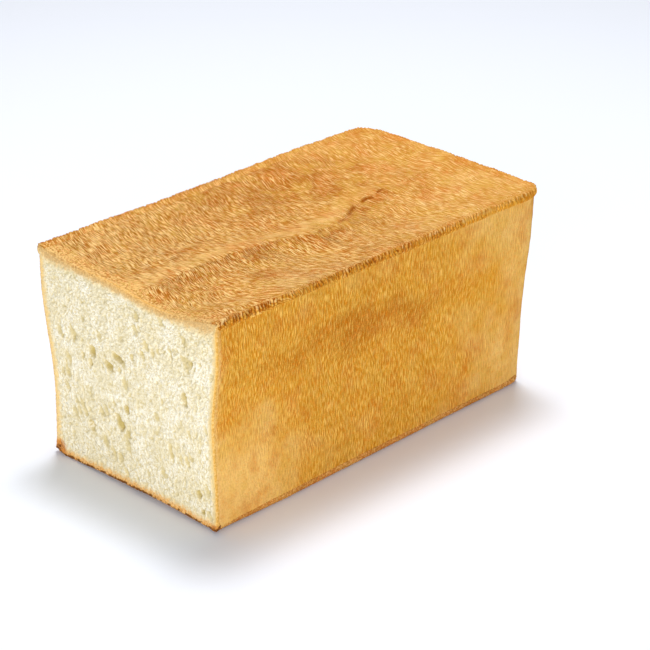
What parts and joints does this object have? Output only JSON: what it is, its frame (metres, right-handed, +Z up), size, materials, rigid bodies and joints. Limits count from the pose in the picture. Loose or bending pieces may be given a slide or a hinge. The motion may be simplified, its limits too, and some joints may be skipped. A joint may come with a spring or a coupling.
{
  "type": "tin loaf",
  "caption": "White tin loaf with a flat lid-baked top and square sides, cut open at one end to show its crumb.",
  "frame": {"origin": "centre of the loaf's box, on the plane that the base rests on", "axes": "+Y along the loaf from the cut face to the baked far end, -Y out of the cut face, +Z up through the lid-baked top"},
  "size_m": [0.1218, 0.2196, 0.1071],
  "materials": {
    "crust": "matte",
    "crumb": "matte"
  },
  "bodies": {
    "root": {"loaf": "crust"}
  },
  "joints": []
}
